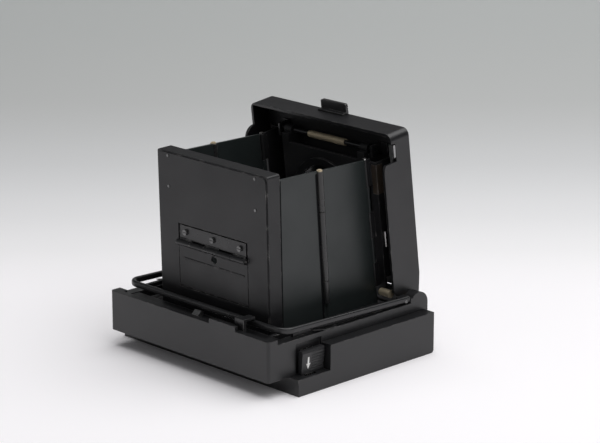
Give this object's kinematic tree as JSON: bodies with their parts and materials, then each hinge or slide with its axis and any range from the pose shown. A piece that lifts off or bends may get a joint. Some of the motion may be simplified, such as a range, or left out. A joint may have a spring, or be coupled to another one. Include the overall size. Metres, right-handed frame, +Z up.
{
  "type": "folding waist-level finder",
  "caption": "Black folding waist-level finder for a medium-format reflex camera: hood with bi-fold sides, hinged lid with magnifier, sports-finder flap and a clip-on foot.",
  "frame": {"origin": "under the middle of the finder's bounding box, on the plane the foot stands on", "axes": "+Z up, -Y towards the front with the sports-finder flap, +X to the right seen from the front"},
  "size_m": [0.104, 0.0908, 0.0974],
  "materials": {
    "cast_black": "satin black baked paint on cast light alloy, fine grain",
    "lid_black": "satin black baked paint on light alloy sheet, fine grain",
    "hood_black": "satin black paint on sheet metal",
    "leaf_black": "satin black paint, faintly blue-green",
    "inner_black": "matt black anti-reflection paint",
    "black_steel": "semi-gloss black finish with worn edges",
    "bright_steel": "bright plated steel",
    "brass": "dull brass",
    "dark_screw": "blackened steel",
    "slider_plastic": "black moulded plastic",
    "white_paint": "white inlay",
    "lens_glass": "clear polished lens"
  },
  "bodies": {
    "base": {"foot_shell": "cast_black", "tray_shell": "cast_black", "tray_screws": "dark_screw", "latch_housing": "cast_black", "catch_hook": "bright_steel", "bail_stop": "black_steel", "lid_hinge_pins": "bright_steel", "lid_hinge_washers": "brass", "bail_pins": "dark_screw", "bail_springs": "black_steel", "detent_spring_right": "bright_steel", "detent_spring_left": "bright_steel"},
    "bail": {"release_bail": "black_steel"},
    "lid": {"lid_shell": "lid_black", "latch_tab": "black_steel", "lid_liner": "inner_black", "magnifier_axle": "bright_steel", "magnifier_spring": "brass", "lid_frame_right": "inner_black", "side_bush_right": "brass", "magnifier_bracket_right": "black_steel", "rear_leaf_pin_right": "bright_steel", "lid_frame_left": "inner_black", "side_bush_left": "brass", "magnifier_bracket_left": "black_steel", "rear_leaf_pin_left": "bright_steel"},
    "magnifier": {"magnifier_plate": "inner_black", "magnifier_bezel": "black_steel", "magnifier_lens": "lens_glass"},
    "magnifier_release": {"magnifier_release": "bright_steel"},
    "front_panel": {"front_panel": "hood_black", "hinge_strip": "black_steel", "strip_screws": "dark_screw", "flap_pin": "bright_steel", "panel_rivets": "dark_screw", "front_leaf_pin_right": "bright_steel", "front_leaf_pin_left": "bright_steel"},
    "flap": {"sports_flap": "hood_black"},
    "slider_right": {"slider_right": "slider_plastic", "slider_arrow_right": "white_paint", "lock_claw_right": "bright_steel"},
    "rear_leaf_right": {"rear_leaf_right": "leaf_black", "middle_leaf_pin_right": "bright_steel"},
    "front_leaf_right": {"front_leaf_right": "leaf_black"},
    "slider_left": {"slider_left": "slider_plastic", "slider_arrow_left": "white_paint", "lock_claw_left": "bright_steel"},
    "rear_leaf_left": {"rear_leaf_left": "leaf_black", "middle_leaf_pin_left": "bright_steel"},
    "front_leaf_left": {"front_leaf_left": "leaf_black"}
  },
  "joints": [
    {"name": "lid_fold", "type": "hinge", "parent": "base", "child": "lid", "pos_m": [0, 0.0389, 0.0204], "axis": [1, 0, 0], "range_deg": [0, 64], "stiffness_Nm_per_rad": 0.08, "springref_deg": -91.67},
    {"name": "rear_leaf_right_fold", "type": "hinge", "parent": "lid", "child": "rear_leaf_right", "pos_m": [0.0301, 0.0238, 0.0804], "axis": [0, 0.124, -0.9923], "range_deg": [0, 89.6]},
    {"name": "front_leaf_right_fold", "type": "hinge", "parent": "rear_leaf_right", "child": "front_leaf_right", "pos_m": [0.031, -0.0024, 0.0804], "axis": [0, -0.0746, 0.9972], "range_deg": [0, 179.2]},
    {"name": "rear_leaf_left_fold", "type": "hinge", "parent": "lid", "child": "rear_leaf_left", "pos_m": [-0.0301, 0.0238, 0.0804], "axis": [0, -0.124, 0.9923], "range_deg": [0, 89.6]},
    {"name": "front_leaf_left_fold", "type": "hinge", "parent": "rear_leaf_left", "child": "front_leaf_left", "pos_m": [-0.031, -0.0024, 0.0804], "axis": [0, 0.0746, -0.9972], "range_deg": [0, 179.2]},
    {"name": "front_panel_fold", "type": "hinge", "parent": "front_leaf_right", "child": "front_panel", "pos_m": [0.0301, -0.0284, 0.0804], "axis": [0, 0.025, -0.9997], "range_deg": [0, 89.6]},
    {"name": "flap_hinge", "type": "hinge", "parent": "front_panel", "child": "flap", "pos_m": [0, -0.03209, 0.04729], "axis": [1, 0, 0], "range_deg": [-110, 0]},
    {"name": "magnifier_hinge", "type": "hinge", "parent": "lid", "child": "magnifier", "pos_m": [0, 0.03297, 0.08244], "axis": [1, 0, 0], "range_deg": [-82.9, 0]},
    {"name": "magnifier_release_slide", "type": "slide", "parent": "lid", "child": "magnifier_release", "axis": [0, -0.124, 0.9923], "range_m": [-0.0015, 0], "stiffness_N_per_m": 60},
    {"name": "bail_press", "type": "hinge", "parent": "base", "child": "bail", "pos_m": [0, 0.0316, 0.023], "axis": [1, 0, 0], "range_deg": [0, 1.5], "stiffness_Nm_per_rad": 0.2, "springref_deg": -2.86, "deforming": ["bail_springs"]},
    {"name": "slider_right_travel", "type": "slide", "parent": "base", "child": "slider_right", "axis": [0, 0, 1], "range_m": [0, 0.0025]},
    {"name": "slider_left_travel", "type": "slide", "parent": "base", "child": "slider_left", "axis": [0, 0, 1], "range_m": [0, 0.0025]}
  ],
  "couplings": [
    {"joint": "rear_leaf_right_fold", "follows": "lid_fold", "ratio": 1.4},
    {"joint": "front_leaf_right_fold", "follows": "lid_fold", "ratio": 2.8},
    {"joint": "rear_leaf_left_fold", "follows": "lid_fold", "ratio": 1.4},
    {"joint": "front_leaf_left_fold", "follows": "lid_fold", "ratio": 2.8},
    {"joint": "front_panel_fold", "follows": "lid_fold", "ratio": 1.4}
  ]
}
